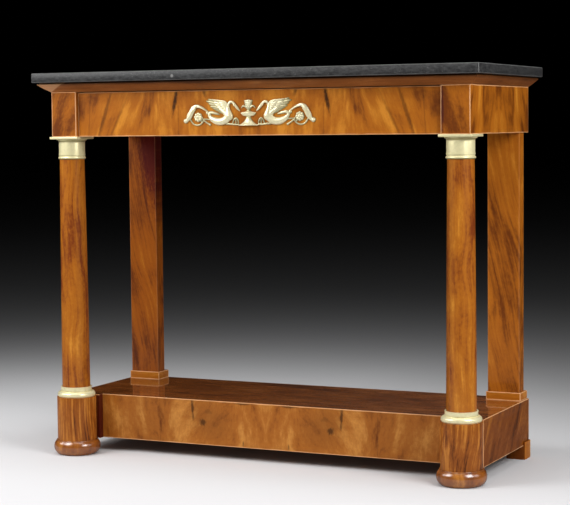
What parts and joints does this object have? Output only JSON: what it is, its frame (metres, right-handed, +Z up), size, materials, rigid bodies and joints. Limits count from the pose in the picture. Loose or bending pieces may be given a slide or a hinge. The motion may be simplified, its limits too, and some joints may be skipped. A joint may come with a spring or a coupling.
{
  "type": "pier table",
  "caption": "Narrow wall table: dark stone slab on a veneered frieze with a gilt-mounted drawer, turned columns on drums in front, flat pilasters behind, and a low platform on feet.",
  "frame": {"origin": "on the floor under the middle of the table's box", "axes": "+X to the right along the width, +Y to the back (the wall side), +Z up"},
  "size_m": [1.1, 0.444, 0.9],
  "materials": {
    "mahogany": "flame veneer, french polished",
    "oak": "plain, unpolished secondary wood",
    "gilt_bronze": "cast, chased and gilt, satin",
    "dark_stone": "honed dark grey stone"
  },
  "bodies": {
    "frame": {"abacus_left": "gilt_bronze", "abacus_right": "gilt_bronze", "bun_foot_left": "mahogany", "bun_foot_right": "mahogany", "capital_left": "gilt_bronze", "capital_right": "gilt_bronze", "column_base_left": "gilt_bronze", "column_base_right": "gilt_bronze", "column_left": "mahogany", "column_right": "mahogany", "corner_block_left": "mahogany", "corner_block_right": "mahogany", "cornice_front": "mahogany", "cornice_left": "mahogany", "cornice_right": "mahogany", "drawer_stops": "oak", "drum_dowels": "oak", "drum_left": "mahogany", "drum_right": "mahogany", "frieze_back": "oak", "frieze_side_left": "mahogany", "frieze_side_right": "mahogany", "glue_blocks": "oak", "guide_left": "oak", "guide_right": "oak", "kicker_left": "oak", "kicker_right": "oak", "lower_rail": "oak", "pilaster_base_left": "mahogany", "pilaster_base_right": "mahogany", "pilaster_left": "mahogany", "pilaster_right": "mahogany", "plinth_back": "oak", "plinth_block_left": "mahogany", "plinth_block_right": "mahogany", "plinth_front": "mahogany", "plinth_side_left": "mahogany", "plinth_side_right": "mahogany", "plinth_top": "mahogany", "rear_block_left": "oak", "rear_block_right": "oak", "rear_foot_left": "mahogany", "rear_foot_right": "mahogany", "runner_left": "oak", "runner_right": "oak", "stone_top": "dark_stone", "top_back_rail": "oak", "upper_rail": "oak"},
    "drawer": {"drawer_back": "oak", "drawer_bottom": "oak", "drawer_front": "mahogany", "drawer_side_left": "oak", "drawer_side_right": "oak", "ornament_pins": "gilt_bronze", "ornament_swan_left": "gilt_bronze", "ornament_swan_right": "gilt_bronze", "ornament_urn": "gilt_bronze"}
  },
  "joints": [
    {"name": "drawer_slide", "type": "slide", "parent": "frame", "child": "drawer", "axis": [0, -1, 0], "range_m": [0, 0.25]}
  ]
}
